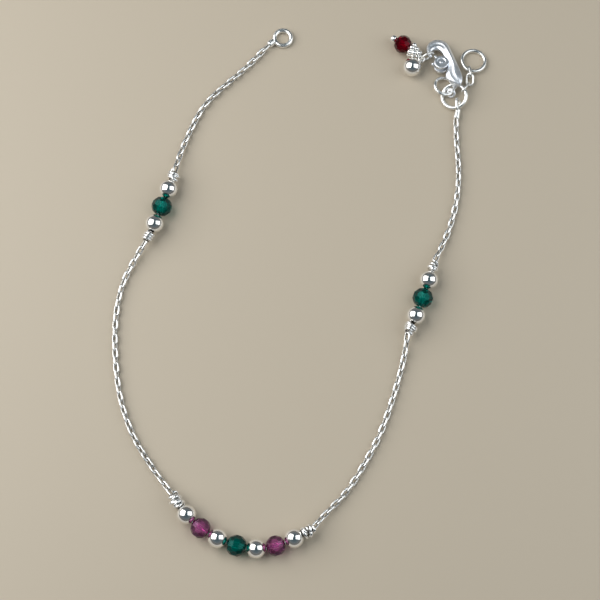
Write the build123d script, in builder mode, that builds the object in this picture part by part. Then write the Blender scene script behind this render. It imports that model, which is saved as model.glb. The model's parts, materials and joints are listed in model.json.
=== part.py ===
"""Payal anklet: a fine silver chain with three stations of beads, lying open on a table.

Units are millimetres, +Z up. The origin is on the table under the middle of the anklet's
box. The anklet lies as a tall U: its plain end ring points to +Y on the left, and its
lobster clasp, charms and extender ring lie at the +Y end of the right-hand side.
"""

import math
import os

from build123d import *

# ---- driving dimensions
chain_dia = 1.3  # width of the chain's oval links
ball_dia = 3.9  # silver balls
cut_bead_dia = 4.0  # purple cut glass
green_bead_dia = 4.2  # green cut glass
bead_hole_dia = 0.8
thread_dia = 0.5  # wire that the beads of a station are threaded on
coil_wire = 0.6  # wrapped wire at each end of a station
coil_dia = 2.5
coil_pitch = 0.7
thread_height = 2.15  # the beads' holes above the table
gap = 0.08  # clearance between neighbouring pieces
bead_gap = 0.12  # spare length on the thread for each piece on it

end_ring_dia, end_ring_wire = 4.55, 0.95
large_ring_dia, large_ring_wire = 5.92, 0.76
small_ring_dia, small_ring_wire = 4.6, 0.70
charm_ring_dia, charm_ring_wire = 3.34, 0.46
extender_ring_dia, extender_ring_wire = 5.8, 0.80
link_length, link_width, link_wire = 3.0, 1.9, 0.45
link_roundness = 0.97  # of a full half circle at each end of an oval link

# ---- bead stations: where the thread starts, then each piece on it in order with its
# heading in degrees; a wire coil closes each end
silver, purple, green = "silver_ball", "purple_bead", "green_bead"
short_coil, long_coil = "coil of three turns", "coil of four turns"
coil_turns = {short_coil: 3, long_coil: 4}
piece_length = {silver: ball_dia, purple: 3.74, green: 3.9}
STATIONS = {
    "left": ((-27.0, 23.75), [
        (short_coil, -107.0), (silver, -108.0), (green, -110.0), (silver, -111.5),
        (short_coil, -118.0),
    ]),
    "bottom": ((-26.1, -44.1), [
        (long_coil, -56.5), (silver, -50.0), (purple, -36.0), (silver, -25.5), (green, -17.0),
        (silver, 0.0), (purple, 17.0), (silver, 26.0), (short_coil, 31.0),
    ]),
    "right": ((21.35, -11.15), [
        (short_coil, 64.5), (silver, 66.5), (green, 70.0), (silver, 71.5), (short_coil, 73.5),
    ]),
}

# ---- chain routes, from one end to the other; each chain rises to a station's thread
low = chain_dia / 2
mid = 1.2
high = thread_height
ROUTES = {
    "chain_left_upper": [(-7.6, 52.7, 0.8), (-12.0, 47.8, low), (-16.8, 43.6, low),
                         (-21.3, 39.1, low), (-24.2, 33.0, low), (-26.2, 27.5, mid),
                         (-26.97, 23.86, high)],
    "chain_left_lower": [(-32.76, 8.4, high), (-34.7, 5.3, mid), (-37.6, -0.3, low),
                         (-38.8, -7.5, low), (-38.6, -15.5, low), (-37.4, -24.5, low),
                         (-34.4, -32.4, low), (-30.6, -38.2, low), (-28.3, -41.3, mid),
                         (-26.16, -44.01, high)],
    "chain_right_lower": [(1.89, -50.65, high), (4.0, -48.1, mid), (8.6, -43.6, low),
                          (12.4, -37.6, low), (15.6, -31.6, low), (18.2, -24.4, low),
                          (20.0, -18.2, low), (20.85, -14.6, mid), (21.28, -11.31, high)],
    "chain_right_upper": [(27.16, 4.2, high), (28.6, 7.0, mid), (30.9, 12.4, low),
                          (32.5, 19.0, low), (32.85, 25.4, low), (32.4, 31.6, low),
                          (32.5, 35.7, 0.85)],
}

# ---- the clasp's end of the anklet
large_ring_at = Vector(32.2, 40.95, 1.09)
large_ring_lean = (20.0, 0.26)  # heading of its high side, and its slope
small_ring_at = Vector(30.25, 43.2, 0.90)
small_ring_lean = (-140.0, 0.27)
extender_ring_at = Vector(36.61, 49.22, 0.685)
extender_ring_lean = (-127.0, 0.106)
end_ring_at = Vector(-4.4, 54.6, end_ring_wire / 2)
charm_ring_at = Vector(26.67, 49.85, 1.69)
charm_ring_heading = 204.0
EXTENDER_LINKS = [  # centre, then heading, climb and roll in degrees
    (Vector(35.62, 46.54, 1.02), 94.0, -7.0, 98.0),
    (Vector(35.69, 44.87, 0.84), 89.0, 15.5, -18.0),
    (Vector(34.57, 42.73, 1.60), 51.0, -15.0, 98.0),
]

clasp_turn = 20.4  # the clasp's long axis, anticlockwise from +Y
clasp_lean = 8.0  # its claw end lies lower than its tail
clasp_pivot = Vector(29.5, 47.8, 1.97)


def heading(angle, rise=0.0):
    """Unit vector at an angle from +X in the plan, climbing by rise for each unit."""
    turn = math.radians(angle)
    return Vector(math.cos(turn), math.sin(turn), rise).normalized()


def leaning_plane(centre, lean):
    """Plane of a ring that lies with one side raised: lean is (heading, slope)."""
    angle, slope = lean
    turn = math.radians(angle)
    normal = Vector(-slope * math.cos(turn), -slope * math.sin(turn), 1)
    return Plane(origin=centre, z_dir=normal)


def save(part, name):
    """Label a finished piece and write its STEP file."""
    part.label = name
    export_step(part, f"parts/{name}.step")


def wire_ring(name, plane, outer_dia, wire):
    """Closed round ring of round wire in the given plane."""
    with BuildPart(plane) as ring:
        Torus((outer_dia - wire) / 2, wire / 2)
    save(ring.part, name)


def wire_along(points, radii, wire):
    """Round wire along straight runs joined by tangent arcs."""
    with BuildPart() as tube:
        with BuildLine() as path:
            FilletPolyline(*points, radius=radii)
        with BuildSketch(Plane(origin=path.line @ 0, z_dir=path.line % 0)):
            Circle(wire / 2)
        sweep()
    return tube.part, path.wire().length


def corner_radii(points, share=0.45):
    """Arc for each corner: a share of the shorter run over the tangent of half the turn."""
    radii = []
    for before, corner, after in zip(points, points[1:], points[2:]):
        turn = (corner - before).get_angle(after - corner)
        shorter = min((corner - before).length, (after - corner).length)
        radii.append(share * shorter / math.tan(math.radians(turn / 2)))
    return radii


def turned_plane(centre, angle, climb, roll):
    """Plane whose X runs at an angle in the plan and climbs, rolled about that X."""
    return Plane(Location(centre, (roll, -climb, angle), Extrinsic.XYZ))


def oval_link(plane, length, width, wire):
    """Oval wire link, long along the plane's X, its hole along the plane's Z."""
    half_length = (length - wire) / 2
    half_width = (width - wire) / 2
    corners = [(-half_length, -half_width), (half_length, -half_width),
               (half_length, half_width), (-half_length, half_width)]
    with BuildPart() as link:
        with BuildLine(plane) as path:
            FilletPolyline(*corners, radius=half_width * link_roundness, close=True)
        with BuildSketch(Plane(origin=path.line @ 0, z_dir=path.line % 0)):
            Circle(wire / 2)
        sweep()
    return link.part


# ---- one of each bead and coil, made at the origin with its hole along Z
with BuildPart() as silver_ball:
    Sphere(ball_dia / 2)
    Hole(bead_hole_dia / 2)

facet_rows = [(-62, 8), (-32, 10), (0, 10), (32, 10), (62, 8)]  # latitude, facets round it
facet_reach = 0.965  # flats lie this far out, so that the corners reach the bead's radius


def cut_glass_bead(dia, length, hole_dia):
    """Glass bead ground with rows of flat facets about its hole."""
    with BuildPart() as bead:
        Cylinder(dia, length)
        for row, (latitude, count) in enumerate(facet_rows):
            for facet in range(count):
                around = heading(360 * (facet + row % 2 / 2) / count)
                level = math.radians(latitude)
                normal = around * math.cos(level) + Vector(0, 0, math.sin(level))
                facet_plane = Plane(origin=normal * dia / 2 * facet_reach, z_dir=normal)
                split(bisect_by=facet_plane, keep=Keep.BOTTOM)
        Hole(hole_dia / 2)
    return bead.part


def wire_coil(turns):
    """Wrapped wire stop, its turns closed up to a ribbed sleeve."""
    reach = (coil_dia - coil_wire) / 2
    with BuildPart() as coil:
        with BuildSketch(Plane.XZ):
            with GridLocations(0, coil_pitch, 1, turns):
                with Locations((reach, 0)):
                    Circle(coil_wire / 2)
            with Locations((reach - coil_wire / 4, 0)):
                Rectangle(coil_wire / 2, (turns - 1) * coil_pitch)
        revolve(axis=Axis.Z)
    return coil.part


bead_parts = {
    silver: silver_ball.part,
    purple: cut_glass_bead(cut_bead_dia, piece_length[purple], bead_hole_dia),
    green: cut_glass_bead(green_bead_dia, piece_length[green], bead_hole_dia),
}


def place(part, name, centre, along):
    """Copy a piece to its place, its hole along the given direction."""
    with BuildPart(Plane(origin=centre, z_dir=along)) as placed:
        add(part)
    save(placed.part, name)


def build_station(side, start, row):
    """Beads and coils of one station, and the wire through them all."""
    joint = Vector(*start, thread_height)
    thread = [joint]
    coils = 0
    for number, (kind, angle) in enumerate(row):
        along = heading(angle)
        if kind in coil_turns:
            coils += 1
            length = (coil_turns[kind] - 1) * coil_pitch + coil_wire
            part, name = wire_coil(coil_turns[kind]), f"{side}_coil_{coils}"
        else:
            length = piece_length[kind]
            part, name = bead_parts[kind], f"{side}_{kind}_{number}"
        place(part, name, joint + along * (length + bead_gap) / 2, along)
        joint = joint + along * (length + bead_gap)
        thread.append(joint)
    part, _ = wire_along(thread, corner_radii(thread, share=0.3), thread_dia)
    save(part, f"{side}_thread")
    print(f"{side}: the thread ends at {joint}")


def build_chain(name, route):
    """One stretch of chain as a tube along its route."""
    points = [Vector(*point) for point in route]
    radii = corner_radii(points)
    part, length = wire_along(points, radii, chain_dia)
    save(part, name)
    section = math.pi * chain_dia**2 / 4
    print(name, "radii", [round(radius, 1) for radius in radii],
          "length", round(length, 1), "volume ratio", round(part.volume / section / length, 4))
    return length


# ---- end ring: soldered ring with a collar that grips the chain
collar_length, collar_dia, collar_heading, collar_round = 1.62, 1.5, 42.0, 0.2
end_bore_dia = 2.72
collar_foot = Vector(*ROUTES["chain_left_upper"][0]) + heading(collar_heading) * gap
with BuildPart() as end_ring:
    with BuildSketch(Plane(origin=collar_foot, z_dir=heading(collar_heading))):
        Circle(collar_dia / 2)
    extrude(amount=collar_length)
    fillet(end_ring.edges().filter_by(GeomType.CIRCLE), collar_round)
    with Locations(end_ring_at):
        Torus((end_ring_dia - end_ring_wire) / 2, end_ring_wire / 2)
        Cylinder(end_bore_dia / 2, end_ring_wire, mode=Mode.SUBTRACT)

# ---- lobster clasp, drawn flat in its own plane: local +Y points to the claw
clasp_x = heading(clasp_turn)
clasp_level_y = heading(clasp_turn + 90)
lean = math.radians(clasp_lean)
clasp_y = clasp_level_y * math.cos(lean) - Vector(0, 0, math.sin(lean))
clasp_plane = Plane(origin=clasp_pivot, x_dir=clasp_x, z_dir=clasp_x.cross(clasp_y))

claw_centre, claw_radius = (0.66, 3.55), 2.63
eye_centre, eye_radius = (0.1, 2.95), 1.08
claw_tip_at = 2.3  # the claw's tip lies this far up from the pivot
claw_thickness = 1.36
pivot_disc_radius, pin_radius = 1.3, 0.3
slot_height, slot_clearance = 0.96, 0.25  # the lever's slot, and its room round the disc
back_round, pin_stand = 0.3, 0.1  # rounding of the outline; the pin's heads stand this proud
back_outline = [(3.27, 3.9), (3.2, -4.3), (2.6, -5.8), (1.5, -6.1), (0.3, -4.9), (-0.65, -3.2),
                (0.05, -2.1), (1.2, -1.7), (1.2, 3.0)]
body_thickness = 2.5
side_outline = [(6.4, 0.7), (2.0, body_thickness / 2), (-2.0, body_thickness / 2),
                (-4.5, 0.82), (-6.4, 0.62)]  # upper half, seen from the side
tail_loop_dia, tail_loop_wire, neck_radius = 2.14, 0.54, 0.42

tail_heading = -47.0  # where the small ring passes through the clasp's tail loop
tail_out = heading(tail_heading)
tail_rise = small_ring_lean[1] * math.cos(math.radians(tail_heading - small_ring_lean[0]))
tail_reach = (small_ring_dia - small_ring_wire) / 2
tail_loop_at = small_ring_at + Vector(tail_out.X, tail_out.Y, tail_rise) * tail_reach
tail_loop_plane = Plane(origin=tail_loop_at, z_dir=heading(tail_heading + 90, -1.0))
loop_top = tail_out.cross(tail_loop_plane.z_dir).normalized()
neck_top = tail_loop_at + loop_top * (tail_loop_dia - tail_loop_wire) / 2
neck_foot = clasp_plane.from_local_coords(Vector(1.3, -5.4, 0))

with BuildPart() as clasp_back:
    with BuildSketch(clasp_plane) as back_sketch:
        with BuildLine():
            Polyline(*back_outline, close=True)
        make_face()
        fillet(back_sketch.vertices(), back_round)
        with Locations(eye_centre):
            Circle(eye_radius, mode=Mode.SUBTRACT)
        Circle(pivot_disc_radius)
    extrude(amount=claw_radius, both=True)
    with BuildSketch(Plane(origin=clasp_pivot, x_dir=clasp_y, z_dir=clasp_x)):
        with BuildLine():
            Polyline(*side_outline, *[(y, -z) for y, z in reversed(side_outline)], close=True)
        make_face()
    extrude(amount=2 * claw_radius, both=True, mode=Mode.INTERSECT)

with BuildPart() as clasp_body:
    with BuildSketch(clasp_plane):
        with Locations(claw_centre):
            Circle(claw_radius)
        with Locations(eye_centre):
            Circle(eye_radius, mode=Mode.SUBTRACT)
        with Locations((eye_centre[0] - eye_radius + claw_radius, claw_tip_at - claw_radius)):
            Rectangle(4 * claw_radius, 2 * claw_radius, mode=Mode.SUBTRACT)
        with Locations((eye_centre[0], claw_tip_at)):
            Rectangle(2 * eye_radius, 2 * (eye_centre[1] - claw_tip_at), mode=Mode.SUBTRACT)
    extrude(amount=claw_thickness / 2, both=True)
    fillet(clasp_body.faces().filter_by(clasp_plane).edges(), claw_thickness / 5)
    add(clasp_back.part)
    with BuildSketch(clasp_plane):
        Circle(pivot_disc_radius + slot_clearance)
    extrude(amount=slot_height / 2, both=True, mode=Mode.SUBTRACT)
    with BuildSketch(clasp_plane):
        Circle(pin_radius)
    extrude(amount=body_thickness / 2 + pin_stand, both=True)
    with BuildSketch(Plane(origin=neck_foot, z_dir=neck_top - neck_foot)):
        Circle(neck_radius)
    extrude(amount=(neck_top - neck_foot).length)
    with Locations(tail_loop_plane):
        Torus((tail_loop_dia - tail_loop_wire) / 2, tail_loop_wire / 2)

lever_thickness, lever_hub_radius = 0.84, 0.8
tongue_angle, tongue_reach, tongue_half_width = 99.4, 2.67, 0.32
thumb_angle, thumb_reach, thumb_radius = 155.0, 2.15, 0.42
with BuildPart() as clasp_lever:
    with BuildSketch(clasp_plane):
        Circle(lever_hub_radius)
        for angle, reach, half_width in (
            (tongue_angle, tongue_reach, tongue_half_width),
            (thumb_angle, thumb_reach, thumb_radius),
        ):
            with Locations(Location((0, 0, 0), (0, 0, angle))):
                with Locations(((reach - half_width) / 2, 0)):
                    SlotCenterToCenter(reach - half_width, 2 * half_width)
        Circle(pin_radius + gap, mode=Mode.SUBTRACT)
    extrude(amount=lever_thickness / 2, both=True)

# ---- end of the right-hand chain: a collar soldered to an oval loop on the large ring
loop_length, loop_width, loop_wire = 3.28, 2.31, 0.58
loop_heading, loop_climb, loop_roll = 88.8, 0.9, 60.0
loop_plane = turned_plane(Vector(33.0, 39.02, 1.09), loop_heading, loop_climb, loop_roll)
cone_foot_dia, cone_top_dia = 1.52, 0.9
chain_end = Vector(*ROUTES["chain_right_upper"][-1])
cone_top = loop_plane.origin - loop_plane.x_dir * (loop_length - loop_wire) / 2
cone_way = (cone_top - chain_end).normalized()
cone_foot = chain_end + cone_way * gap * 2
cone_size = (cone_foot_dia / 2, cone_top_dia / 2, (cone_top - cone_foot).length)
end_oval = oval_link(loop_plane, loop_length, loop_width, loop_wire)
with BuildPart() as chain_end_loop:
    add(end_oval)
    with Locations(Plane(origin=cone_foot, z_dir=cone_way)):
        Cone(*cone_size, align=(Align.CENTER, Align.CENTER, Align.MIN))

# ---- charms on a ring through the claw: a headed pin with a red bead and a cap of
# granules, and a ball; each ends in a flat loop on the ring, one above the other
charm_loop_dia, charm_loop_wire = 1.6, 0.44
charm_loop_radius = (charm_loop_dia - charm_loop_wire) / 2
charm_side = heading(charm_ring_heading)
hang_at = charm_ring_at + charm_side * (charm_ring_dia - charm_ring_wire) / 2
pin_level, charm_level = 1.93, 1.31
pin_heading, pin_start = -34.0, Vector(19.5, 53.8, pin_level)
pin_way = heading(pin_heading)
pin_ball_dia, pin_length, pin_wire = 1.3, 7.0, 0.5
red_bead_dia, red_bead_length, red_bead_at = 3.8, 3.0, 2.3
cap_at, cap_length, cap_dia, cap_end_dia = 3.9, 2.4, 3.2, 1.6
charm_ball_dia, charm_neck_dia = 4.0, 0.6
charm_ball_at = Vector(23.32, 47.28, charm_ball_dia / 2)

with BuildPart() as head_pin:
    with Locations(pin_start):
        Sphere(pin_ball_dia / 2)
    with BuildSketch(Plane(origin=pin_start, z_dir=pin_way)):
        Circle(pin_wire / 2)
    extrude(amount=pin_length)
    with Locations((hang_at.X, hang_at.Y, pin_level)):
        Torus(charm_loop_radius, charm_loop_wire / 2)

with BuildPart(Plane(origin=pin_start + pin_way * cap_at, z_dir=pin_way)) as granule_cap:
    Cone(cap_dia / 2, cap_end_dia / 2, cap_length, align=(Align.CENTER, Align.CENTER, Align.MIN))
    Hole(pin_wire / 2 + gap)

loop_centre = Vector(hang_at.X, hang_at.Y, charm_level)
neck_side = Vector(loop_centre.X - charm_ball_at.X, loop_centre.Y - charm_ball_at.Y, 0)
loop_edge = loop_centre - neck_side.normalized() * charm_loop_radius
with BuildPart() as charm_ball:
    with Locations(charm_ball_at):
        Sphere(charm_ball_dia / 2)
    with BuildSketch(Plane(origin=charm_ball_at, z_dir=loop_edge - charm_ball_at)):
        Circle(charm_neck_dia / 2)
    extrude(amount=(loop_edge - charm_ball_at).length)
    with Locations(loop_centre):
        Torus(charm_loop_radius, charm_loop_wire / 2)

# ---- extender ring, its bore a narrow land inside the wire
extender_bore_dia = 4.24
with BuildPart(leaning_plane(extender_ring_at, extender_ring_lean)) as extender_ring:
    Torus((extender_ring_dia - extender_ring_wire) / 2, extender_ring_wire / 2)
    Cylinder(extender_bore_dia / 2, extender_ring_wire, mode=Mode.SUBTRACT)

# ---- write every piece
os.makedirs("parts", exist_ok=True)
for side, (start, row) in STATIONS.items():
    build_station(side, start, row)
total = sum(build_chain(name, route) for name, route in ROUTES.items())
print("chain in all", round(total, 1))
save(end_ring.part, "end_ring")
save(clasp_body.part, "clasp_body")
save(clasp_lever.part, "clasp_lever")
save(chain_end_loop.part, "chain_end_loop")
large_plane = leaning_plane(large_ring_at, large_ring_lean)
small_plane = leaning_plane(small_ring_at, small_ring_lean)
wire_ring("jump_ring_large", large_plane, large_ring_dia, large_ring_wire)
wire_ring("jump_ring_small", small_plane, small_ring_dia, small_ring_wire)
charm_plane = Plane(origin=charm_ring_at, x_dir=charm_side, z_dir=heading(charm_ring_heading + 90))
wire_ring("charm_ring", charm_plane, charm_ring_dia, charm_ring_wire)
for number, (centre, angle, climb, roll) in enumerate(EXTENDER_LINKS, start=1):
    plane = turned_plane(centre, angle, climb, roll)
    save(oval_link(plane, link_length, link_width, link_wire), f"extender_link_{number}")
save(extender_ring.part, "extender_ring")
save(head_pin.part, "head_pin")
red_bead = cut_glass_bead(red_bead_dia, red_bead_length, pin_wire + 2 * gap)
place(red_bead, "red_bead", pin_start + pin_way * red_bead_at, pin_way)
save(granule_cap.part, "granule_cap")
save(charm_ball.part, "charm_ball")
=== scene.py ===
# %% [markdown]
# # A beaded silver anklet
# A payal is a fine chain that is worn round the ankle. This one has three groups of
# beads threaded on wire, and at its ends a plain ring, a lobster clasp, a short extender
# and two small charms. The solid model gives every piece its place and size. It could be
# shown as it is, but its chains are plain tubes and its wire wraps are ribbed sleeves, so
# the links and the wire are made here, piece by piece, in the same frame.

# %% Load the solid model
import json
import math
import random

import bmesh
import bpy
from mathutils import Matrix, Vector

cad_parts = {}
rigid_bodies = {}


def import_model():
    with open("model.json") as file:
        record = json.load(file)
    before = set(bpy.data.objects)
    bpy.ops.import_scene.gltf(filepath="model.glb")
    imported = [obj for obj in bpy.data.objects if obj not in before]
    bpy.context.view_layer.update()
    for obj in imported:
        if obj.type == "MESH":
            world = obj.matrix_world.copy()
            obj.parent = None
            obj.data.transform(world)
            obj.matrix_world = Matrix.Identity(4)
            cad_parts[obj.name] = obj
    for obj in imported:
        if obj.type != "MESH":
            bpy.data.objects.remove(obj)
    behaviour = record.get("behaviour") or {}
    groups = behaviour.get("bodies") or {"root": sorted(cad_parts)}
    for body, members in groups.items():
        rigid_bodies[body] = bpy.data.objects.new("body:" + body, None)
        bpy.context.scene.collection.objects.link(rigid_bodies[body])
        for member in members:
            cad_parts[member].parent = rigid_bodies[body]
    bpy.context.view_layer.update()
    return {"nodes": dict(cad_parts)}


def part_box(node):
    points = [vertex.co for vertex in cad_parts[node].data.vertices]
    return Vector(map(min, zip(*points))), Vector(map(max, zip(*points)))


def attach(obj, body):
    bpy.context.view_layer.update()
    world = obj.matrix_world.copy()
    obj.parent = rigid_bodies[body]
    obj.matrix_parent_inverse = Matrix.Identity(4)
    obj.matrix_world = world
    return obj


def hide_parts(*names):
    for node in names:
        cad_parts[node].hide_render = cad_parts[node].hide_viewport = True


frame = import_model()
MM = 0.001  # sizes below are in millimetres, and Blender's are in metres

# %% [markdown]
# ## Camera
# Jewellery is usually shown from above, a little from the front, so that the whole
# outline reads and the beads still look round. A long lens from far away could flatten
# it, and a short one would swell what is near. A 90 mm lens at 310 mm does neither.

# %% Camera
look_at = Vector((-0.7, -3.6, 0)) * MM
elevation = math.radians(76)
camera_distance = 310.5 * MM
camera_data = bpy.data.cameras.new("camera")
camera_data.lens = 90
camera_data.sensor_width = 36
camera = bpy.data.objects.new("camera", camera_data)
bpy.context.scene.collection.objects.link(camera)
bpy.context.scene.camera = camera
back_and_up = Vector((0, -math.cos(elevation), math.sin(elevation)))
camera.location = look_at + back_and_up * camera_distance
camera.rotation_euler = (math.pi / 2 - elevation, 0, 0)
print("camera at", [round(c, 4) for c in camera.location])

# %% [markdown]
# ## Light
# Polished silver has no colour of its own: it shows what stands round it. One lamp would
# leave it black with a single spark. Two large soft boxes, one each side of the camera,
# put a bright window on both flanks of every ball, and the dim bluish room between them
# gives the dark band that makes the metal look polished. The stronger box stands at the
# upper left, so the shadows fall to the lower right.

# %% Soft boxes
def soft_box(name, place, aim, width, height, power, colour):
    """A rectangular area light at a place, turned towards the point it aims at."""
    lamp = bpy.data.lights.new(name, "AREA")
    lamp.shape = "RECTANGLE"
    lamp.size, lamp.size_y = width * MM, height * MM
    lamp.energy = power
    lamp.color = colour
    holder = bpy.data.objects.new(name, lamp)
    bpy.context.scene.collection.objects.link(holder)
    holder.location = Vector(place) * MM
    way = Vector(aim) * MM - holder.location
    holder.rotation_euler = way.to_track_quat("-Z", "Y").to_euler()


middle_of_table = (0, 0, 0)
soft_box("soft_box_left", (-285, 75, 300), middle_of_table, 440, 480,
         power=2.1, colour=(1.0, 0.985, 0.96))
soft_box("soft_box_right", (290, 10, 290), middle_of_table, 330, 440,
         power=0.75, colour=(0.95, 0.98, 1.0))

# %% The room's dim light
room_strength = 0.7
# from the horizon up: warm grey walls, cool upper room, dark ceiling
WALLS, UPPER, CEILING = (0.24, 0.22, 0.19, 1), (0.17, 0.20, 0.22, 1), (0.06, 0.105, 0.13, 1)
upper_room_at = 0.55
world = bpy.data.worlds.new("room")
bpy.context.scene.world = world
world.use_nodes = True
room = world.node_tree.nodes["Background"]
room.inputs["Strength"].default_value = room_strength
room_nodes, room_links = world.node_tree.nodes, world.node_tree.links
look_way = room_nodes.new("ShaderNodeTexCoord")
split_way = room_nodes.new("ShaderNodeSeparateXYZ")
height_band = room_nodes.new("ShaderNodeValToRGB")
room_links.new(look_way.outputs["Generated"], split_way.inputs["Vector"])
room_links.new(split_way.outputs["Z"], height_band.inputs["Fac"])
room_links.new(height_band.outputs["Color"], room.inputs["Color"])
bands = height_band.color_ramp.elements
bands[0].position, bands[0].color = 0.0, WALLS
bands[1].position, bands[1].color = 1.0, CEILING
bands.new(upper_room_at).color = UPPER
bpy.context.scene.view_settings.view_transform = "Standard"
print("room light:", room_strength, "in", len(bands), "bands")

# %% [markdown]
# ## Selecting and placing
# Blender's operators act on what is selected, so each piece starts from a clean
# selection. A piece is modelled at the origin with its hole along Z, then laid in place
# with one matrix, and that place is moved into its mesh, so that its object ends
# unturned at the origin as the solid model's do. Each finished piece then hides the
# solid node that it stands for.

# %% Helpers for selection
def select_only(*objects):
    """Deselect everything, then select these and make the first one active."""
    bpy.ops.object.select_all(action="DESELECT")
    for obj in objects:
        obj.select_set(True)
    bpy.context.view_layer.objects.active = objects[0]


def added(add_shape, **settings):
    """What one of Blender's add operators makes on a clean selection."""
    bpy.ops.object.select_all(action="DESELECT")
    add_shape(**settings)
    return bpy.context.object


def pick_verts(obj, wanted):
    """In edit mode, select the vertices whose place passes a test, and no others."""
    bpy.ops.mesh.select_all(action="DESELECT")
    mesh = bmesh.from_edit_mesh(obj.data)
    for vert in mesh.verts:
        vert.select_set(wanted(vert.co))
    mesh.select_flush_mode()
    bmesh.update_edit_mesh(obj.data)


print("selecting helpers are ready")

# %% Helpers for place
def pose_matrix(centre, hole_way, long_way=(0, 0, 1)):
    """Place whose Z is the hole's direction and whose X is as near long_way as can be."""
    z = Vector(hole_way).normalized()
    guess = Vector(long_way)
    if abs(guess.normalized().dot(z)) > 0.999:  # along the hole, so it can't guide
        guess = Vector((1, 0, 0))
    x = (guess - z * guess.dot(z)).normalized()
    y = z.cross(x)
    turn = Matrix((x, y, z)).transposed().to_4x4()
    return Matrix.Translation(Vector(centre)) @ turn


def settle(obj, place=None):
    """Lay an object at its place and move the place into its mesh."""
    if place is not None:
        obj.matrix_world = place @ obj.matrix_world
    select_only(obj)
    bpy.ops.object.transform_apply(location=True, rotation=True, scale=True)


def copy_of(model, name, place):
    """A copy of a modelled piece with its own mesh, laid in place."""
    obj = model.copy()
    obj.data = model.data.copy()
    obj.name = obj.data.name = name
    bpy.context.scene.collection.objects.link(obj)
    settle(obj, place)
    return obj


def joined(parts, name):
    """Several meshes made one piece."""
    select_only(*parts)
    bpy.ops.object.join()
    piece = bpy.context.object
    piece.name = piece.data.name = name
    return piece


def keep_piece(piece, finish, slot, *nodes, body="anklet"):
    """Give a new piece its finish and its body, and hide what it stands for. The slot is not
    used.
    """
    if finish is not None:
        piece.data.materials.clear()
        piece.data.materials.append(finish)
    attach(piece, body)
    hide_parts(*nodes)


def heading(angle, rise=0.0):
    """Unit vector at an angle in degrees from +X in the plan, climbing by rise a unit."""
    turn = math.radians(angle)
    return Vector((math.cos(turn), math.sin(turn), rise)).normalized()


def middle(node):
    """Centre of a solid node's box."""
    low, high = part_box(node)
    return (low + high) / 2


print("placing helpers are ready")

# %% [markdown]
# ## Finishes
# All metal here is silver, but it isn't one finish: the balls are rolled to a mirror,
# the chain is bright and slightly wavy from its plating, and the cast clasp keeps soft
# dents and some patches of tarnish. One shader group makes the small unevenness
# that all of them share, and each material uses it with its own scale and depth.

# %% Shader group: hand-polished unevenness
def new_group(name, inputs, outputs):
    """An empty shader group with named sockets: numbers, and one called Vector."""
    group = bpy.data.node_groups.new(name, "ShaderNodeTree")
    for way, titles in (("INPUT", inputs), ("OUTPUT", outputs)):
        for title in titles:
            kind = "NodeSocketVector" if title == "Vector" else "NodeSocketFloat"
            group.interface.new_socket(title, in_out=way, socket_type=kind)
    return group, group.nodes.new("NodeGroupInput"), group.nodes.new("NodeGroupOutput")


def set_inputs(node, values):
    """Give a shader node's inputs their values by name."""
    for title, value in values.items():
        node.inputs[title].default_value = value


def polish_group():
    """Noise at two scales: slow waves of the surface, and fine scratches in the polish."""
    group, given, made = new_group(
        "polish_marks",
        ["Vector", "Wave Scale", "Roughness Low", "Roughness High", "Dark Amount"],
        ["Height", "Roughness", "Tarnish"])
    nodes, links = group.nodes, group.links
    wave = nodes.new("ShaderNodeTexNoise")
    set_inputs(wave, {"Detail": 1.5})
    links.new(given.outputs["Vector"], wave.inputs["Vector"])
    links.new(given.outputs["Wave Scale"], wave.inputs["Scale"])
    marks = nodes.new("ShaderNodeTexNoise")
    set_inputs(marks, {"Scale": 5000.0, "Detail": 3.0, "Distortion": 0.6})
    links.new(given.outputs["Vector"], marks.inputs["Vector"])
    spread = nodes.new("ShaderNodeMapRange")
    set_inputs(spread, {"From Min": 0.35, "From Max": 0.7})
    links.new(marks.outputs["Fac"], spread.inputs["Value"])
    links.new(given.outputs["Roughness Low"], spread.inputs["To Min"])
    links.new(given.outputs["Roughness High"], spread.inputs["To Max"])
    links.new(spread.outputs["Result"], made.inputs["Roughness"])
    links.new(wave.outputs["Fac"], made.inputs["Height"])
    patches = nodes.new("ShaderNodeMapRange")
    set_inputs(patches, {"From Min": 0.5, "From Max": 0.75})
    links.new(wave.outputs["Fac"], patches.inputs["Value"])
    links.new(given.outputs["Dark Amount"], patches.inputs["To Max"])
    links.new(patches.outputs["Result"], made.inputs["Tarnish"])
    return group


polish_marks = polish_group()
print("shader group:", polish_marks.name, len(polish_marks.nodes), "nodes")

# %% Silver
TARNISH = (0.30, 0.27, 0.22, 1)
dent_depth = 0.02 * MM


def new_finish(name):
    """A material that starts as one plain shader, with its nodes and links."""
    material = bpy.data.materials.new(name)
    material.use_nodes = True
    nodes = material.node_tree.nodes
    return material, nodes["Principled BSDF"], nodes, material.node_tree.links


def blend_colours(nodes, links, shader, near, far, share):
    """Colour a shader by two colours and a socket that says how much of the second."""
    mix = nodes.new("ShaderNodeMix")
    mix.data_type = "RGBA"
    set_inputs(mix, {"A": near, "B": far})
    links.new(share, mix.inputs["Factor"])
    links.new(mix.outputs["Result"], shader.inputs["Base Color"])


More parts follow.
